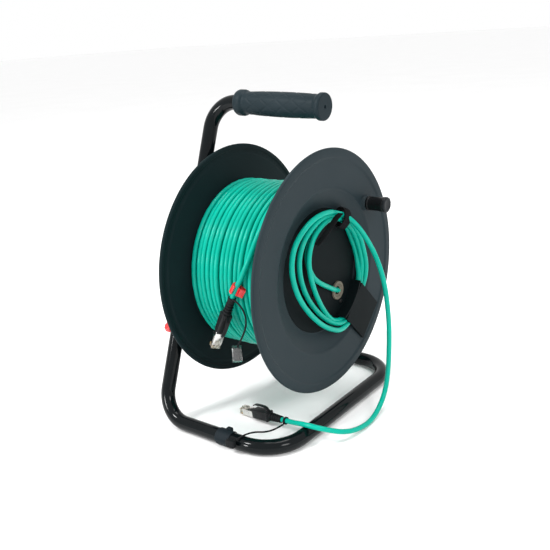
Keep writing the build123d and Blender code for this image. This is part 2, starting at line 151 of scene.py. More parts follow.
BUSH = look("bearing_plastic", (0.60, 0.59, 0.54), (0.70, 0.69, 0.64), (0.35, 0.45))
RED = look("red_moulding", (0.50, 0.008, 0.010), (0.66, 0.014, 0.014), (0.26, 0.38), (600, 0.08, 0.0001),
           coat=0.2)
RUBBER = look("black_rubber", (0.004, 0.005, 0.006), (0.008, 0.009, 0.010), (0.5, 0.65), (1500, 0.2, 0.0001),
              specular=0.12)
BEIGE = look("beige_ring", (0.105, 0.095, 0.072), (0.15, 0.132, 0.10), (0.42, 0.55), (900, 0.2, 0.0001),
             specular=0.2)
KNOB = look("gloss_knob", (0.004, 0.0045, 0.005), (0.008, 0.009, 0.010), (0.24, 0.34), (500, 0.05, 0.0001),
            specular=0.2)
CAP = look("grey_knob_cap", (0.006, 0.009, 0.011), (0.010, 0.013, 0.015), (0.4, 0.52), (1200, 0.2, 0.0001),
           specular=0.15)
CABLE = look("cable_jacket", (0.0, 0.325, 0.235), (0.0005, 0.37, 0.27), (0.18, 0.26), (700, 0.05, 0.0001),
             blotch=40.0, specular=0.14)
STRAP = look("loop_fabric", (0.003, 0.003, 0.0035), (0.008, 0.008, 0.009), (0.8, 0.95), (1800, 0.8, 0.0006),
             specular=0.1)
HOUSING = look("plug_housing", (0.006, 0.007, 0.008), (0.010, 0.011, 0.012), (0.34, 0.46), specular=0.2)
CLEAR = look("clear_nose", (0.80, 0.78, 0.70), (0.88, 0.86, 0.80), (0.06, 0.12), (400, 0.04, 0.0001),
             clear=0.85)
SLEEVE = look("clear_sleeve", (0.85, 0.86, 0.86), (0.92, 0.92, 0.92), (0.12, 0.2), (300, 0.1, 0.0003),
              clear=0.95)


# ---- mesh helpers: everything is drawn in mm in the drum's frame -------------------------------
def add_rings(bm, rings, closed=True, caps=True):
    """Skin over rings of points, each ring a closed loop."""
    made = [[bm.verts.new(p) for p in ring] for ring in rings]
    count = len(made[0])
    for a, b in zip(made, made[1:]):
        for k in range(count if closed else count - 1):
            n = (k + 1) % count
            bm.faces.new((a[k], a[n], b[n], b[k]))
    if caps:
        bm.faces.new(made[0][::-1])
        bm.faces.new(made[-1])


def rounded(profile, size, steps=3):
    """Closed profile of (x, r) points with each corner rounded by up to size."""
    out = []
    count = len(profile)
    for k in range(count):
        a, b, c = (Vector(profile[(k + d) % count]) for d in (-1, 0, 1))
        u, v = a - b, c - b
        cut = min(size, 0.4 * u.length, 0.4 * v.length)
        straight = u.length < 1e-6 or v.length < 1e-6 or abs(u.angle(v) - math.pi) < 0.12
        if straight or b.y < 0.01:
            out.append(tuple(b))
            continue
        p, q = b + u.normalized() * cut, b + v.normalized() * cut
        for i in range(steps + 1):
            t = i / steps
            out.append(tuple(p * (1 - t) ** 2 + b * 2 * t * (1 - t) + q * t ** 2))
    return out


def add_lathe(bm, profile, centre=(0, 0), segments=64):
    """Turns a closed (x, r) profile about an axis along X through centre (y, z)."""
    rings = []
    for k in range(segments):
        a = 2 * math.pi * k / segments
        rings.append([(x, centre[0] + r * math.cos(a), centre[1] + r * math.sin(a)) for x, r in profile])
    rings.append(rings[0])
    add_rings(bm, rings, caps=False)


def add_block(bm, size, centre, soft, steps, spot=Matrix.Identity(4)):
    """Block of that size at centre in spot's frame, its edges rounded by soft."""
    matrix = spot @ Matrix.Translation(centre)
    made = bmesh.ops.create_cube(bm, size=1.0, matrix=matrix @ Matrix.Diagonal((*size, 1)))
    edges = list({e for v in made["verts"] for e in v.link_edges})
    bmesh.ops.bevel(bm, geom=edges, offset=soft, segments=steps, profile=0.5, affect="EDGES")


def add_plate(bm, outline, matrix, half, soft):
    """Flat outline of (a, b) points in matrix's XZ plane, half to each side along its Y."""
    add_rings(bm, [[matrix @ Vector((a, h, b)) for a, b in outline] for h in (-half, half)])
    edges = [e for e in bm.edges if e.calc_face_angle(0) > 0.5]
    bmesh.ops.bevel(bm, geom=edges, offset=soft, segments=2, profile=0.5, affect="EDGES")


def angles(sides):
    """Evenly spaced angles once round."""
    return [2 * math.pi * k / sides for k in range(sides)]


def ring_x(radius, x, centre, sides):
    """Ring about an axis along X through centre (y, z); radius is a function of the angle."""
    return [(x, centre[0] + radius(a) * math.cos(a), centre[1] + radius(a) * math.sin(a))
            for a in angles(sides)]


def ring_z(radius, height, sides=32):
    """Round ring about Z."""
    return [Vector((radius * math.cos(a), radius * math.sin(a), height)) for a in angles(sides)]


def frames_along(points):
    """A steady sideways vector at each point of a line."""
    side = None
    out = []
    for k, p in enumerate(points):
        ahead = (points[min(k + 1, len(points) - 1)] - points[max(k - 1, 0)]).normalized()
        if side is None:
            side = ahead.orthogonal()
        side = (side - ahead * side.dot(ahead)).normalized()
        out.append((p, side.copy(), ahead.cross(side)))
    return out


def add_tube(bm, points, radius, sides=16):
    """Round tube along a line of points."""
    rings = []
    for p, u, v in frames_along(points):
        rings.append([p + (u * math.cos(a) + v * math.sin(a)) * radius for a in angles(sides)])
    add_rings(bm, rings)


def place(name, bm, mat, body, replaces=(), sharp=35, in_mm=True):
    """Turns the built mesh into a piece that rides on a CAD body."""
    if in_mm:
        bm.transform(TO_FRAME)
    bmesh.ops.remove_doubles(bm, verts=bm.verts, dist=2e-6)
    bmesh.ops.recalc_face_normals(bm, faces=bm.faces)
    mesh = bpy.data.meshes.new(name)
    bm.to_mesh(mesh)
    bm.free()
    mesh.shade_smooth()
    mesh.set_sharp_from_angle(angle=math.radians(sharp))
    mesh.materials.append(mat)
    obj = bpy.data.objects.new(name, mesh)
    bpy.context.scene.collection.objects.link(obj)
    if body:
        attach(obj, body)
    if replaces:
        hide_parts(*replaces)
    return obj


# ---- camera ----------------------------------------------------------------------------------
camera_data = bpy.data.cameras.new("camera")
camera_data.sensor_width = 36.0
camera_data.lens = 49.132
camera = bpy.data.objects.new("camera", camera_data)
CAMERA_AT = (0.58116, -0.74906, 0.48727)
CAMERA_RIGHT = (0.79722, 0.60040, -0.06296)
CAMERA_UP = (-0.13804, 0.28282, 0.94919)
CAMERA_BACK = (0.58770, -0.74802, 0.30835)
turn = Matrix((CAMERA_RIGHT, CAMERA_UP, CAMERA_BACK)).transposed()
camera.matrix_world = Matrix.Translation(CAMERA_AT) @ turn.to_4x4()
bpy.context.scene.collection.objects.link(camera)
bpy.context.scene.camera = camera

# ---- cords -------------------------------------------------------------------------------------
# routes in metres from the drum's origin
TAIL = [
    (-0.0330, -0.0670, 0.0940), (-0.0365, -0.0905, 0.0715), (-0.0400, -0.1058, 0.0460),
    (-0.0485, -0.1138, 0.0210), (-0.0600, -0.1150, 0.0030), (-0.0660, -0.1159, -0.0100),
]
LEAD = [
    (-0.0148, 0.0390, -0.0386), (-0.0110, 0.0270, -0.0340),
]
# the small coil, clockwise from the front: angle in degrees, distance from the axis and X, mm;
# the coil is loose and no two of its turns are alike, so its route is a list
SMALL_COIL = [
    (-62, 30.5, -10.5), (-119, 17, -7.5), (-172, 24.5, -7.5), (-196, 32.5, -9), (-215, 43, -10.5),
    (-230, 49, -10.5), (-246, 55, -10.5), (-263, 61, -10.5), (-279, 65.5, -10.5), (-295, 71, -10.5),
    (-310, 74.5, -10.5), (-325, 73, -10.5), (-343, 74.5, -10.5), (-359, 80.5, -10.5),
    (-372, 82.5, -8.5), (-382, 84, -6), (-392, 84.5, -8), (-404, 86, -8.5), (-416, 86, -8.5),
    (-427, 84, -8), (-439, 74, -8.5), (-454, 55, -8), (-483, 38, -6), (-520, 33.5, -5),
    (-551, 39, -4), (-571, 47, -4), (-587, 53, -4), (-603, 58.5, -4), (-619, 62, -4), (-634, 66, -4),
    (-649, 68.5, -4), (-664, 70.5, -4), (-682, 73, -4), (-699, 75.5, -4), (-715, 80.5, -4.5),
    (-728, 85.5, -4.5), (-739, 89, -6), (-750, 90, -5.5), (-762, 90.5, -5.5), (-776, 91, -5.5),
    (-789, 87, -4.5), (-802, 75, -6), (-818, 60.5, -8), (-845, 48.5, -9), (-877, 46.5, -9),
    (-904, 54, -7), (-920, 63.5, -4.5), (-932, 69.5, -3.5), (-945, 72, -3), (-958, 72, -3),
    (-974, 72, -3), (-990, 72.5, -3), (-1006, 73.5, -3), (-1021, 75.5, -2.5), (-1039, 76, -1),
    (-1059, 79.5, 0), (-1075, 83, 0), (-1088, 90, -0.5), (-1099, 97, -3.5), (-1108, 96, -4.6),
    (-1119, 95.5, -4.6), (-1131, 96, -4.6), (-1143, 96, -3.5), (-1157, 89, -1), (-1171, 77.5, 0),
    (-1188, 68.5, 0), (-1210, 63, 0), (-1234, 65, 0), (-1253, 72, 0), (-1267, 79, 0), (-1278, 85, 0),
    (-1288, 88.5, 0), (-1298, 89, 0), (-1310, 86, 0), (-1325, 83, 0.5), (-1340, 79.5, 1),
    (-1354, 77, 1.5),
]
HANGING = [
    (-0.0030, 0.0200, 0.0720), (-0.0015, 0.0380, 0.0660), (0.0060, 0.0490, 0.0550),
    (0.0180, 0.0525, 0.0400), (0.0340, 0.0540, 0.0140), (0.0450, 0.0580, -0.0240),
    (0.0500, 0.0585, -0.0750), (0.0515, 0.0550, -0.1120), (0.0530, 0.0480, -0.1480),
    (0.0520, 0.0380, -0.1770), (0.0550, 0.0080, -0.1915), (0.0570, -0.0240, -0.1910),
    (0.0520, -0.0570, -0.1845), (0.0350, -0.0810, -0.1732), (0.0080, -0.0860, -0.1712),
    (-0.0140, -0.0795, -0.1782), (-0.0320, -0.0775, -0.1801),
]


def from_drum(p):
    """A point given in metres from the drum's origin, in the shared frame."""
    return Vector((RIM_X + p[0], p[1], AXIS_Z + p[2]))


def round_axis(degrees, radius, x):
    """A point at an angle round the drum's axis and a distance from it, in mm."""
    a = math.radians(degrees)
    return at(x, radius * math.cos(a), radius * math.sin(a))


def route(name, points, radius, smooth):
    """Curve of one open NURBS spline through its control points, with a round section."""
    data = bpy.data.curves.new(name, "CURVE")
    data.dimensions = "3D"
    spline = data.splines.new("NURBS")
    spline.points.add(len(points) - 1)
    for made, p in zip(spline.points, points):
        made.co = (*p, 1.0)
    spline.order_u = 3
    spline.use_endpoint_u = True
    spline.resolution_u = smooth
    data.resolution_u = smooth
    data.bevel_depth = radius
    data.bevel_resolution = 4
    data.use_fill_caps = radius > 0
    obj = bpy.data.objects.new(name, data)
    bpy.context.scene.collection.objects.link(obj)
    return obj


def line_of(points, smooth):
    """The points down the middle of such a spline."""
    bare = route("bare_line", points, 0.0, smooth)
    mesh = bpy.data.meshes.new_from_object(bare)
    line = [v.co.copy() for v in mesh.vertices]
    data = bare.data
    bpy.data.objects.remove(bare)
    bpy.data.curves.remove(data)
    bpy.data.meshes.remove(mesh)
    return line


def line_length(line):
    """Length along a line of points."""
    return sum((b - a).length for a, b in zip(line, line[1:]))


# outer cord: layers wound on the barrel, then the crossing and the tail
PER_TURN = 16
SPREAD = 1.0 / math.cos(math.pi / PER_TURN)  # control points stand this much outside the curve
# radius, first x, last x and turns of each layer, mm
LAYERS = [(87.6, -19.5, -128.5, 17), (94.0, -131.0, -17.0, 17), (100.4, -14.6, -133.4, 18),
          (106.7, -136.2, -11.6, 16.75)]
STEP_TURN, STEP_POINTS = 0.25, 4  # climbing from one layer to the next
CROSS_TURN, CROSS_POINTS = 0.55, 9  # crossing back over the top layer
CROSS_R, CROSS_LIFT, CROSS_X, CROSS_BACK = 107.0, 6.6, -11.6, 20.6
TAIL_DEG = 125.5  # where the tail leaves the winding
ALL_TURNS = sum(layer[3] for layer in LAYERS) + (len(LAYERS) - 1) * STEP_TURN + CROSS_TURN


def wander(turn, layer):
    """How far a hand-wound turn strays sideways, in mm."""
    return 0.60 * math.sin(2.3 * turn + layer) + 0.45 * math.sin(5.1 * turn + 1.7)


def lift(turn):
    """How far a hand-wound turn rides up, in mm."""
    return 0.35 * math.sin(3.7 * turn) + 0.25 * math.sin(7.9 * turn + 0.6)


def wound_cord():
    """Turn count, radius and x of each control point of the winding, in mm."""
    turns = 0.0
    for index, (radius, x_from, x_to, count) in enumerate(LAYERS):
        steps = int(round(count * PER_TURN))
        for k in range(steps):
            share = k / steps
            turn = turns + count * share
            yield turn, radius + lift(turn), x_from + (x_to - x_from) * share + wander(turn, index)
        turns += count
        if index == len(LAYERS) - 1:
            break
        next_radius, next_x = LAYERS[index + 1][:2]
        for k in range(STEP_POINTS):
            share = (k + 0.5) / STEP_POINTS
            yield (turns + STEP_TURN * share, radius + (next_radius - radius) * share,
                   x_to + (next_x - x_to) * share)
        turns += STEP_TURN
    for k in range(CROSS_POINTS):
        share = k / CROSS_POINTS
        climb = min(1.0, 2.2 * share)
        yield turns + CROSS_TURN * share, CROSS_R + CROSS_LIFT * climb, CROSS_X - CROSS_BACK * share ** 0.8


outer_points = [round_axis(TAIL_DEG + 360 * (turn - ALL_TURNS), radius * SPREAD, x)
                for turn, radius, x in wound_cord()]
outer_points += [from_drum(p) for p in TAIL]
outer_cable = route("cable_outer_length", outer_points, CABLE_D / 2, 3)
outer_cable.data.materials.append(CABLE)
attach(outer_cable, "drum")
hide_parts("cable_winding", "cable_outer_tail")
outer_line = line_of(outer_points, 3)

# inner cord: outlet, small coil, then the stretch that hangs and lies over the stand
inner_points = [from_drum(p) for p in LEAD]
inner_points += [round_axis(*row) for row in SMALL_COIL]
inner_points += [from_drum(p) for p in HANGING]
inner_line = line_of(inner_points, 8)
LEAVES_X, LEAVES_Z = RIM_X + 9.5 * MM, AXIS_Z + 30 * MM  # the drum's part ends before this x, above this z
cut = max(k for k, p in enumerate(inner_line) if p.x < LEAVES_X and p.z > LEAVES_Z)
coil_line, hanging_line = inner_line[:cut + 1], inner_line[cut:]
bm = bmesh.new()
add_tube(bm, coil_line, CABLE_D / 2)
coil_cable = place("cable_recess_length", bm, CABLE, "drum",
                   ("cable_outlet_lead", "cable_recess_coil", "cable_coil_exit"),
                   in_mm=False)
bm = bmesh.new()
add_tube(bm, hanging_line, CABLE_D / 2)
hanging_cable = place("cable_hanging_length", bm, CABLE, None, ("cable_hanging",),
                      in_mm=False)
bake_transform(hanging_cable)

# ---- stand -------------------------------------------------------------------------------------
TUBE_R = 9.5
TUBE_SIDES = 40
TUBE_Z = TUBE_R - AXIS_Z / MM  # middle of the tube that lies on the floor
REAR_X, NOSE_X = -180.5, 9.7  # back and front of the floor loop
LEG_Y = 142.0
JOINT_X = -70.0  # where the two tubes meet on each leg
JOINT_GAP = 0.5
TOP = Vector((-168.6, 0, 210.5))  # corner above the uprights
GRIP_TIP = Vector((-2.0, 0, 204.6))  # front end of the tube inside the grip
GRIP_BEND, LEG_BEND, NOSE_BEND = 35, 38, 50
RIGHT_SHARE = 0.59  # how far up the right upright goes


def upright(side, share):
    """Middle of an upright, from its foot at 0 to the top corner at 1."""
    return Vector((REAR_X + (TOP.x - REAR_X) * share, side * LEG_Y * (1 - share),
                   TUBE_Z + (TOP.z - TUBE_Z) * share))


def bent_pipe(corners, radii, steps=14):
    """Middle line of a rigid pipe with a true arc at each bend."""
    corners = [Vector(c) for c in corners]
    line = [corners[0]]
    for a, b, c, radius in zip(corners, corners[1:], corners[2:], radii):
        u, v = (a - b).normalized(), (c - b).normalized()
        half = u.angle(v) / 2
        middle = b + (u + v).normalized() * (radius / math.sin(half))
        start = b + u * (radius / math.tan(half)) - middle
        axis = u.cross(v).normalized()
        sweep = -(math.pi - 2 * half)
        for k in range(steps + 1):
            line.append(middle + Matrix.Rotation(sweep * k / steps, 3, axis) @ start)
    return line + [corners[-1]]


bm = bmesh.new()
left_foot = (JOINT_X - JOINT_GAP, -LEG_Y, TUBE_Z)
add_tube(bm, bent_pipe([GRIP_TIP, TOP, upright(-1, 0), left_foot], [GRIP_BEND, LEG_BEND]), TUBE_R, TUBE_SIDES)
place("stand_tube_with_grip", bm, PAINT, "stand", ("frame_handle_tube",))
bm = bmesh.new()
floor_loop = [(JOINT_X + JOINT_GAP, -LEG_Y, TUBE_Z), (NOSE_X, -LEG_Y, TUBE_Z), (NOSE_X, LEG_Y, TUBE_Z),
              upright(1, 0), upright(1, RIGHT_SHARE)]
add_tube(bm, bent_pipe(floor_loop, [NOSE_BEND, NOSE_BEND, LEG_BEND]), TUBE_R, TUBE_SIDES)
place("stand_tube_floor_loop", bm, PAINT, "stand", ("frame_base_tube",))

# clips over the tube joint, flat underneath
LEG_CLIP = [(-82, 9.55), (-82, 10.1), (-81.4, 10.6), (-60.6, 10.6), (-60, 10.1), (-60, 9.55)]
FLAT_Z = TUBE_Z - 9.45
for side, word in ((-1, "left"), (1, "right")):
    bm = bmesh.new()
    rings = [ring_x(lambda a: r, x, (side * LEG_Y, TUBE_Z), 48) for x, r in LEG_CLIP]
    add_rings(bm, [[(x, y, max(z, FLAT_Z)) for x, y, z in ring] for ring in rings])
    add_block(bm, (8, 5.6, 5.0), (-69, side * (LEG_Y - 5.5), TUBE_Z + 9.6), 1.2, 3)
    add_block(bm, (20, 1.6, 2.6), (-71, side * (LEG_Y + 10.3), TUBE_Z), 0.6, 2)
    place("clip_" + word, bm, CLIP, "stand", ("leg_clip_" + word,))

# grip: barrelled body with moulded diamond grooves, a collar at each end and a closed front disc
grip_axis = (TOP - GRIP_TIP).normalized()
grip_side = Vector((0, 1, 0))
grip_frame = Matrix((grip_side, grip_axis.cross(grip_side), grip_axis)).transposed().to_4x4()
grip_frame.translation = Vector((3.0, 0, 204.42))
# height along the grip and radius
GRIP_SHAPE = [(0, 15.0), (0.6, 16.0), (1.6, 16.5), (6.0, 16.5), (7.0, 16.0), (8.2, 15.0), (10.5, 14.3),
              (14, 14.5), (30, 15.0), (45, 15.3), (65, 15.4), (90, 15.1), (110, 14.3), (115, 14.0),
              (117.0, 14.4), (119.0, 15.8), (121.0, 16.4), (127.5, 16.4), (129.5, 15.6), (130.4, 14.2)]


def grip_radius(h):
    """Radius of the plain grip at height h."""
    for (h0, r0), (h1, r1) in zip(GRIP_SHAPE, GRIP_SHAPE[1:]):
        if h0 <= h <= h1:
            return r0 + (r1 - r0) * (h - h0) / (h1 - h0)
    return GRIP_SHAPE[-1][1]


LATTICE_FROM, LATTICE_TO = 16, 110
LATTICE_DEPTH, LATTICE_PITCH, LATTICE_ROUND = 0.55, 23.5, 6
GROOVE = 0.10  # half-width of a groove, as a share of a diamond
GRIP_SIDES, GRIP_STEP, GRIP_END = 120, 0.9, 130.4


def lattice(h, a):
    """Depth of the moulded diamond grooves at height h and angle a."""
    if not LATTICE_FROM < h < LATTICE_TO:
        return 0.0
    edge = min(1.0, (h - LATTICE_FROM) / 4, (LATTICE_TO - h) / 4)
    around = a / (2 * math.pi) * LATTICE_ROUND
    along = (h - LATTICE_FROM) / LATTICE_PITCH
    near = min(abs((around + along) % 1.0 - 0.5), abs((around - along) % 1.0 - 0.5))
    return -LATTICE_DEPTH * edge * max(0.0, 1.0 - near / GROOVE)


bm = bmesh.new()
stations = sorted({h for h, r in GRIP_SHAPE} | {10.5 + GRIP_STEP * k for k in range(120)})
# a small dimple in the end disc, the grooved body, and the open rear end
rings = [ring_z(1.6, 2.2, GRIP_SIDES), ring_z(2.2, 0.2, GRIP_SIDES), ring_z(14.2, 0.0, GRIP_SIDES)]
for h in [h for h in stations if h <= GRIP_END]:
    reach = [grip_radius(h) + lattice(h, a) for a in angles(GRIP_SIDES)]
    rings.append([Vector((r * math.cos(a), r * math.sin(a), h)) for r, a in zip(reach, angles(GRIP_SIDES))])
rings.append(ring_z(9.6, 130.6, GRIP_SIDES))
add_rings(bm, [[grip_frame @ p for p in ring] for ring in rings])
place("carrying_grip", bm, GRIP, "stand", ("handle_grip",), sharp=50)

# ---- drum --------------------------------------------------------------------------------------
# flange profile as (x, r) from the front rim: face, web to the hub, back; the rear flange is mirrored
FACE = [(0.0, 153.5), (0.0, 144.0), (-1.6, 141.5), (-3.2, 107.0), (-3.8, 105.0), (-5.0, 103.0),
        (-12.6, 84.4), (-14.0, 81.5), (-14.0, 80.0), (-16.2, 80.0), (-16.2, 71.5)]
BACK = [(-20.5, 84.5), (-16.1, 84.5), (-7.8, 104.2), (-6.3, 107.5), (-4.8, 141.0), (-3.6, 144.0),
        (-3.6, 148.0), (-5.0, 149.5), (-5.0, 153.5), (-3.5, 155.0), (-1.5, 155.0)]
FRONT_WEB = [(-18.0, 70.0), (-18.0, 14.0), (-46.0, 14.0), (-46.0, 24.0), (-20.5, 24.0)]
REAR_WEB = [(-17.0, 70.0), (-17.0, 24.0), (3.0, 24.0), (3.0, 14.0), (-36.0, 14.0), (-36.0, 24.0),
            (-20.5, 24.0)]
KNOB_BOSS = [(-3.6, 0.0), (-3.6, 11.2), (-2.4, 10.2), (1.2, 9.8), (1.8, 9.2), (1.8, 0.0)]
DRUM_LENGTH = 148.0
FLANGE_SOFT, FLANGE_SIDES = 1.1, 224
KNOB_AT = (94.3, 68.7)
bm = bmesh.new()
add_lathe(bm, rounded(FACE + FRONT_WEB + BACK, FLANGE_SOFT), segments=FLANGE_SIDES)
add_lathe(bm, KNOB_BOSS, KNOB_AT, 48)
place("front_flange_moulding", bm, FLANGE, "drum", ("front_flange",), sharp=40)
bm = bmesh.new()
mirrored = [(-DRUM_LENGTH - x, r) for x, r in rounded(FACE + REAR_WEB + BACK, FLANGE_SOFT)]
add_lathe(bm, mirrored, segments=FLANGE_SIDES)
# the rear flange takes the painted-shade copy of the moulding, not a plastic of its own
place("rear_flange_moulding_painted_shade", bm, SHADE_PAINTED_REAR_FLANGE, "drum", ("rear_flange",), sharp=40)

# stepped ring round the cable outlet
OUTLET_AT = (35.0, -37.0)
OUTLET = [(-15.8, 6.0), (-12.9, 5.4), (-12.6, 8.4), (-11.4, 8.9), (-11.4, 12.2), (-14.0, 12.5),
          (-14.0, 9.3), (-15.8, 9.3)]
bm = bmesh.new()
add_lathe(bm, rounded(OUTLET, 0.35), OUTLET_AT, 56)
place("outlet_ring", bm, BEIGE, "drum", ("cable_outlet_ring",))

# small screw in the recess floor
SCREW_AT = (42.5, -54.5)
SCREW_HEAD = [(-14.1, 0.0), (-14.1, 3.2), (-12.9, 2.9), (-12.5, 1.8), (-12.5, 0.0)]
bm = bmesh.new()
add_lathe(bm, rounded(SCREW_HEAD, 0.3), SCREW_AT, 28)
place("recess_screw", bm, BLACK_SCREW, "drum", ("recess_disc_screw",))
# dark cross laid flush on the screw head: painted shade standing in for the cross recess, which is not cut
bm = bmesh.new()
for degrees in (20, 110):
    spot = Matrix.Translation((-12.55, *SCREW_AT)) @ Matrix.Rotation(math.radians(degrees), 4, "X")
    add_block(bm, (0.16, 3.4, 0.6), (0, 0, 0), 0.05, 1, spot)
place("recess_screw_cross_painted_shade", bm, BARREL, "drum")

# ---- crank knob ------------------------------------------------------------------------------
KNOB_BODY = [(2.3, 4.2), (2.3, 9.2), (3.2, 9.8), (4.8, 9.8), (5.5, 9.2), (12.0, 9.1), (20.0, 9.4),
             (26.4, 10.1), (26.9, 9.8), (26.9, 4.2)]
bm = bmesh.new()
add_lathe(bm, rounded(KNOB_BODY, 0.5), KNOB_AT, 72)
place("knob_body", bm, KNOB, "crank", ("crank_knob",))
# x, radius and depth of the six notches in the cap
KNOB_CAP = [(27.1, 9.9, 0.0), (27.4, 10.2, 0.0), (28.8, 10.2, 0.2), (30.0, 10.0, 0.5),
            (30.7, 9.0, 0.5), (30.8, 7.4, 0.2), (30.4, 6.2, 0.0), (30.4, 0.05, 0.0)]


def notched(radius, depth):
    """Radius as a function of the angle, with six narrow notches."""
    return lambda a: radius - max(0.0, math.cos(6 * a)) ** 6 * depth


bm = bmesh.new()
add_rings(bm, [ring_x(notched(r, depth), x, KNOB_AT, 96) for x, r, depth in KNOB_CAP])
place("knob_cap", bm, CAP, "crank", ("crank_knob_cap",))

# ---- brake knob behind the left upright -----------------------------------------------------
BRAKE_AT = (-101.7, -75.0)
# x, radius and depth of the eight flutes
BRAKE_KNOB = [(-187.3, 5.0, 0), (-187.4, 6.2, 0.2), (-188.2, 6.9, 0.7), (-195.8, 6.9, 0.9),
              (-197.2, 6.3, 0.6), (-197.6, 5.2, 0.1), (-197.2, 2.0, 0.0)]


def fluted(radius, depth):
    """Radius as a function of the angle, with eight soft flutes."""
    return lambda a: radius - depth * (0.5 - 0.5 * math.cos(8 * a))


bm = bmesh.new()
add_rings(bm, [ring_x(fluted(r, depth), x, BRAKE_AT, 96) for x, r, depth in BRAKE_KNOB])
place("brake_screw_knob", bm, RED, "brake_screw", ("brake_knob",))

# ---- strap round the small coil -----------------------------------------------------------
STRAP_DEG = 67.0  # how far round the coil it sits
LOOP_A, LOOP_B = 7.9, 12.6  # half-axes of the loop
BAND_HALF, BAND_THICK = 7.5, 0.7
spot = Matrix.Translation((0, 9.0, -9.0)) @ Matrix.Rotation(math.radians(STRAP_DEG - 90), 4, "X")
spot = spot @ Matrix.Translation((-4.0, 0, 76.0))
bm = bmesh.new()
rings = []
for k in range(49):
    a = 2 * math.pi * k / 48
    middle = Vector((math.cos(a) * LOOP_A, 0, math.sin(a) * LOOP_B))
    outward = Vector((math.cos(a) * LOOP_B, 0, math.sin(a) * LOOP_A)).normalized()
    wave = 0.35 * math.sin(3 * a + 0.5)
    inner = middle - outward * BAND_THICK
    outer = middle + outward * (BAND_THICK + 0.15 * wave)
    between = (inner + outer) / 2
    section = ((-BAND_HALF, inner), (-BAND_HALF - 0.3, between), (-BAND_HALF, outer),
               (0, outer + outward * 0.3), (BAND_HALF, outer), (BAND_HALF + 0.3, between),
               (BAND_HALF, inner), (0, inner))
    rings.append([spot @ Vector((p.x, w + wave, p.z)) for w, p in section])
add_rings(bm, rings, caps=False)
TAIL_HALF, TAIL_END_HALF = 4.0, 3.2
STRAP_TAIL = [Vector((4.2, 22.0, 71.4)), Vector((4.6, 12.4, 68.2)), Vector((4.4, -5.4, 57.8)),
              Vector((3.2, -19.4, 48.7)), Vector((1.6, -29.0, 43.4))]
last = len(STRAP_TAIL) - 1
rings = []
for k, p in enumerate(STRAP_TAIL):
    ahead = (STRAP_TAIL[min(k + 1, last)] - STRAP_TAIL[max(k - 1, 0)]).normalized()
    flat = (Vector((1, 0, 0)) - ahead * ahead.x).normalized()
    thick = ahead.cross(flat)
    half = TAIL_HALF if k < last else TAIL_END_HALF
    section = ((-half, -0.6), (0, -0.75), (half, -0.6), (half + 0.2, 0), (half, 0.6), (0, 0.75),
               (-half, 0.6), (-half - 0.2, 0))
    rings.append([p + flat * a + thick * b for a, b in section])
add_rings(bm, rings)
place("coil_strap_loop", bm, STRAP, "drum", ("coil_strap",), sharp=50)


# ---- plugs --------------------------------------------------------------------------------------
def local_frame(origin, x_dir, z_dir):
    """Frame at origin with Z along z_dir and X as near x_dir as that allows."""
    z = Vector(z_dir).normalized()
    x = Vector(x_dir)
    x = (x - z * x.dot(z)).normalized()
    made = Matrix((x, z.cross(x), z)).transposed().to_4x4()
    made.translation = Vector(origin)
    return made


# sizes along local X, Y and Z, and how far from the cable's end their middle lies
HOUSING_SIZE, HOUSING_Z = (12.4, 12.8, 29), 34.5
COLLAR_SIZE, COLLAR_Z = (12.7, 13.1, 2.2), 22.6
PANEL_Z, PANEL_Y = 36, 6.45
SHELL_SIZE, SHELL_Z, SHELL_X = (8.4, 11.8, 18.5), 58.25, -0.8
NOSE_SIZE, NOSE_Z = (7.8, 11.2, 5.5), 70.25
CONTACTS, CONTACT_PITCH = 8, 1.02
BOOT_R, BOOT_GROOVE_R, BOOT_TAPER = 4.6, 4.25, 0.06
GUARD_OUTER = [(6.0, 20.2), (8.8, 22.0), (11.6, 24.8), (12.8, 28.2), (13.1, 36.0), (12.8, 44.2),
               (12.0, 47.4), (10.5, 49.6)]
GUARD_INNER = [(9.4, 48.7), (10.6, 46.6), (11.3, 44.0), (11.5, 36.0), (11.2, 29.0), (10.2, 26.2),
               (8.2, 23.9), (6.0, 22.4)]
GUARD_HALF = 1.9


def add_boot(bm, spot):
    """Ribbed and slightly flared sleeve from the cable's end to the housing."""
    rings = [ring_z(FIT_R, -0.2), ring_z(BOOT_R - 0.2, -0.2), ring_z(BOOT_R, 0.3)]
    for h in (2.6, 6.6, 10.6, 14.6):
        r = BOOT_R + BOOT_TAPER * h
        rings += [ring_z(r, h), ring_z(r - 0.2, h + 0.25), ring_z(BOOT_GROOVE_R, h + 0.45),
                  ring_z(BOOT_GROOVE_R, h + 2.0), ring_z(r - 0.1, h + 2.25), ring_z(r + 0.05, h + 2.5)]
    rings += [ring_z(5.8, 19.9), ring_z(3.4, 20.0)]
    add_rings(bm, [[spot @ p for p in ring] for ring in rings])


def add_housing(bm, spot):
    """Housing with a collar, a raised frame on each broad side and a latch block."""
    add_block(bm, HOUSING_SIZE, (0, 0, HOUSING_Z), 1.5, 4, spot)
    add_block(bm, COLLAR_SIZE, (0, 0, COLLAR_Z), 0.7, 3, spot)
    for side in (-1, 1):
        for x, z, wide, tall in ((0, -6.6, 7.2, 0.8), (0, 6.6, 7.2, 0.8), (-3.2, 0, 0.8, 14.0),
                                 (3.2, 0, 0.8, 14.0)):
            add_block(bm, (wide, 0.5, tall), (x, side * PANEL_Y, PANEL_Z + z), 0.15, 2, spot)
    add_block(bm, (1.6, 6.5, 6.0), (5.9, 0, 24.6), 0.5, 3, spot)


def add_shell(bm, spot):
    """Metal shell with a shallow spring on each side."""
    add_block(bm, SHELL_SIZE, (SHELL_X, 0, SHELL_Z), 0.45, 3, spot)
    for side in (-1, 1):
        add_block(bm, (5.0, 0.35, 9.0), (SHELL_X, side * 5.95, 59.5), 0.15, 2, spot)


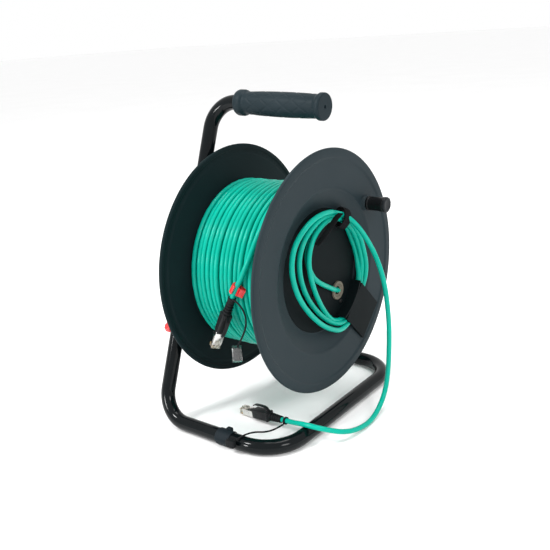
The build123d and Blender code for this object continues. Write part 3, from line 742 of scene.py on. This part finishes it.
def add_nose(bm, spot):
    """Clear nose and the latch on top of it."""
    add_block(bm, NOSE_SIZE, (SHELL_X, 0, NOSE_Z), 0.35, 3, spot)
    add_block(bm, (2.2, 6.0, 9.0), (4.4, 0, 66.0), 0.3, 2, spot)


def add_contacts(bm, spot):
    """Row of contact strips under the nose."""
    for k in range(CONTACTS):
        y = CONTACT_PITCH * (k - (CONTACTS - 1) / 2)
        add_block(bm, (1.4, 0.42, 5.0), (-4.2, y, 70.4), 0.08, 1, spot)


def add_guard(bm, spot):
    """Springy bow that guards the latch."""
    add_plate(bm, GUARD_OUTER + GUARD_INNER, spot, GUARD_HALF, 0.3)


# piece, what draws it, material, the CAD node it replaces, slot
PLUG_PIECES = [
    ("_boot", add_boot, RUBBER, "_plug_relief", "relief_rubber"),
    ("_housing", add_housing, HOUSING, "_plug_body", "plug_black"),
    ("_shell", add_shell, NICKEL, "_plug_shell", "shell_metal"),
    ("_nose", add_nose, CLEAR, "_plug_tip", "tip_clear"),
    ("_contacts", add_contacts, GOLD, None, "tip_clear"),
    ("_latch_guard", add_guard, HOUSING, "_plug_guard", "guard_plastic"),
]


def plug(tag, spot, body):
    """The pieces of one plug, drawn along local Z from the cable's end to the contacts."""
    made = []
    for piece, draw, mat, node, slot in PLUG_PIECES:
        bm = bmesh.new()
        draw(bm, spot)
        made.append(place(tag + piece, bm, mat, body, (tag + node,) if node else ()))
    return made


OUTER_END, OUTER_DIR = Vector((-66.0, -115.9, -10.0)), Vector((-6.0, -0.9, -13.0)).normalized()
INNER_END = Vector((-32.0, -77.5, -180.1))
INNER_DIR = (INNER_END - Vector((-14.0, -79.5, -178.2))).normalized()
outer_plug = plug("outer", local_frame(OUTER_END, (0.75, -0.55, -0.3156), OUTER_DIR), "drum")
inner_plug = plug("inner", local_frame(INNER_END, (-0.09, 0.0, 1.0), INNER_DIR), "stand")

# red C-shaped clip above the outer plug
clip_spot = local_frame((-59.3, -114.9, 4.2), (0.797, 0.6, -0.06), (-13.0, -1.3, -20.0))
CLIP_WALL = [(3.45, -6.0), (5.6, -6.0), (5.9, -5.6), (5.9, 5.6), (5.6, 6.0), (3.45, 6.0)]
CLIP_FROM, CLIP_SWEEP, CLIP_STEPS = 125, 290, 40  # degrees round the cable, leaving the mouth open


def swept_ring(spot, section, a):
    """A section of (r, z) points, stood up at angle a round spot's Z."""
    return [spot @ Vector((r * math.cos(a), r * math.sin(a), h)) for r, h in section]


bm = bmesh.new()
add_rings(bm, [swept_ring(clip_spot, CLIP_WALL, math.radians(CLIP_FROM + CLIP_SWEEP * k / CLIP_STEPS))
               for k in range(CLIP_STEPS + 1)])
add_block(bm, (6.4, 7.0, 12), (7.6, 1.5, 0), 0.9, 3, clip_spot)
add_block(bm, (1.2, 8.2, 12), (10.6, 1.5, 0), 0.5, 2, clip_spot)
red_clip = place("cable_marking_clip", bm, RED, "drum", ("red_cable_clip",))


# tethers: a ring on the cable, a thin strap, a dust cap
TETHER_RING = ((FIT_R, -1.4), (4.6, -1.5), (4.9, -1.1), (4.9, 1.1), (4.6, 1.5), (FIT_R, 1.4))


def tether(tag, ring_at, ring_dir, points, body):
    """Ring and strap of one tether, with the strap's length."""
    spot = local_frame(ring_at, (1, 0, 0.3), ring_dir)
    bm = bmesh.new()
    add_rings(bm, [swept_ring(spot, TETHER_RING, 2 * math.pi * k / 36) for k in range(37)], caps=False)
    ring = place(tag + "_tether_ring", bm, RUBBER, body, (tag + "_cap_tether",))
    strap = route(tag + "_tether", [at(*p) for p in points], TETHER_D / 2, 8)
    strap.data.materials.append(RUBBER)
    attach(strap, body)
    return ring, strap, line_length(line_of([at(*p) for p in points], 8))


OUTER_TETHER = [(-61.5, -118.5, -8.6), (-50.5, -122.0, -9.0), (-40.5, -122.0, -22.0), (-41.0, -122.0, -38.0),
                (-50.0, -122.3, -56.0), (-57.5, -122.5, -67.5)]
INNER_TETHER = [(-27.0, -81.0, -183.5), (-27.5, -95.0, -183.5), (-31.0, -113.0, -180.5),
                (-36.0, -129.0, -173.6), (-42.0, -143.0, -173.0), (-46.5, -151.0, -176.5)]
outer_ring, outer_strap, outer_strap_length = tether(
    "outer", OUTER_END - OUTER_DIR * 1.7, OUTER_DIR, OUTER_TETHER, "drum")
inner_ring, inner_strap, inner_strap_length = tether(
    "inner", INNER_END - INNER_DIR * 7.0, INNER_DIR, INNER_TETHER, "stand")

# ribbed dust caps, the outer one in a clear sleeve
CAP_DEG = 37
cap_spot = Matrix.Translation((-58.5, -122.5, 0)) @ Matrix.Rotation(math.radians(CAP_DEG), 4, "Z")
bm = bmesh.new()
add_block(bm, (8.2, 8.2, 16.6), (0, 0, -76.0), 0.9, 3, cap_spot)
for k in range(5):
    add_block(bm, (8.6, 8.6, 0.9), (0, 0, -82.0 + 2.4 * k), 0.3, 2, cap_spot)
outer_cap = place("outer_dust_cover", bm, RUBBER, "drum", ("outer_dust_cap",))
bm = bmesh.new()
add_block(bm, (11.4, 9.6, 18.4), (0, 0, -76.4), 0.8, 3, cap_spot)
outer_sleeve = place("outer_cover_sleeve", bm, SLEEVE, "drum", ("outer_cap_sleeve",))
INNER_CAP_AT = (-51.4, -156.2, -180.5)
bm = bmesh.new()
add_block(bm, (13.0, 6.4, 9.0), INNER_CAP_AT, 1.2, 3)
for k in range(4):
    add_block(bm, (0.8, 6.8, 8.4), (-55.6 + 2.8 * k, *INNER_CAP_AT[1:]), 0.25, 2)
inner_cap = place("inner_dust_cover", bm, RUBBER, "stand", ("inner_dust_cap",))

# ---- finishes of the CAD pieces that stay --------------------------------------------------
FINISH = {
    "hub_plate": PLATE, "hub_plate_bolts": ZINC, "hub_plate_nuts": ZINC, "axle": ZINC, "axle_nut": ZINC,
    "axle_circlip": ZINC, "brake_stud": ZINC, "drum_screws": ZINC, "crank_pin": ZINC, "rear_bush": BUSH,
    "front_bush": BUSH, "rear_thrust_washer": BUSH, "front_thrust_washer": BUSH, "brake_pad": RUBBER,
    # the recess disc and the coil bridge take the darkened recess colour, which is painted shade
    "drum_barrel": BARREL, "recess_disc": SHADE_PAINTED_RECESS, "coil_bridge": SHADE_PAINTED_RECESS, "tube_end_plug": CLIP,
}
SOFT_EDGED = ("hub_plate", "hub_plate_bolts", "hub_plate_nuts", "axle_nut", "coil_bridge", "brake_pad")
for name, mat in FINISH.items():
    NODES[name].data.materials.clear()
    NODES[name].data.materials.append(mat)
for name in SOFT_EDGED:
    soft = NODES[name].modifiers.new("edges", "BEVEL")
    soft.width = 0.0004
    soft.segments = 2
    soft.limit_method = "ANGLE"
    soft.angle_limit = math.radians(40)

# ---- floor, backdrop and light --------------------------------------------------------------------
FLOOR_HALF = 30.0
bm = bmesh.new()
add_rings(bm, [[(-FLOOR_HALF, -FLOOR_HALF, 0), (FLOOR_HALF, -FLOOR_HALF, 0)],
               [(-FLOOR_HALF, FLOOR_HALF, 0), (FLOOR_HALF, FLOOR_HALF, 0)]], closed=False, caps=False)
floor_look = look("pale_floor", (0.955, 0.955, 0.955), (0.975, 0.975, 0.975), (0.7, 0.8),
                  (300, 0.02, 0.0001), blotch=3.0, specular=0.2)
floor = place("floor", bm, floor_look, None, in_mm=False)
floor.location.z = -0.2 * MM
world = bpy.data.worlds.new("studio")
world.use_nodes = True
world.node_tree.nodes["Background"].inputs["Color"].default_value = (1.0, 1.0, 1.0, 1)
world.node_tree.nodes["Background"].inputs["Strength"].default_value = 1.0
bpy.context.scene.world = world
bpy.context.scene.view_settings.view_transform = "Standard"


def area_light(name, place_at, aim_z, size, power):
    """Round soft light, aimed at a height on the world's Z axis."""
    data = bpy.data.lights.new(name, "AREA")
    data.shape = "DISK"
    data.size = size
    data.energy = power
    obj = bpy.data.objects.new(name, data)
    obj.location = place_at
    obj.rotation_euler = (Vector((0, 0, aim_z)) - Vector(place_at)).to_track_quat("-Z", "Y").to_euler()
    bpy.context.scene.collection.objects.link(obj)


area_light("key", (-0.9, -1.5, 1.9), 0.2, size=0.5, power=30)
area_light("fill", (1.9, -0.6, 1.2), 0.2, size=0.7, power=14)
area_light("low", (-0.7, -1.9, 0.62), 0.2, size=0.35, power=14)
area_light("top", (0.1, 0.3, 2.4), 0.1, size=1.2, power=22)
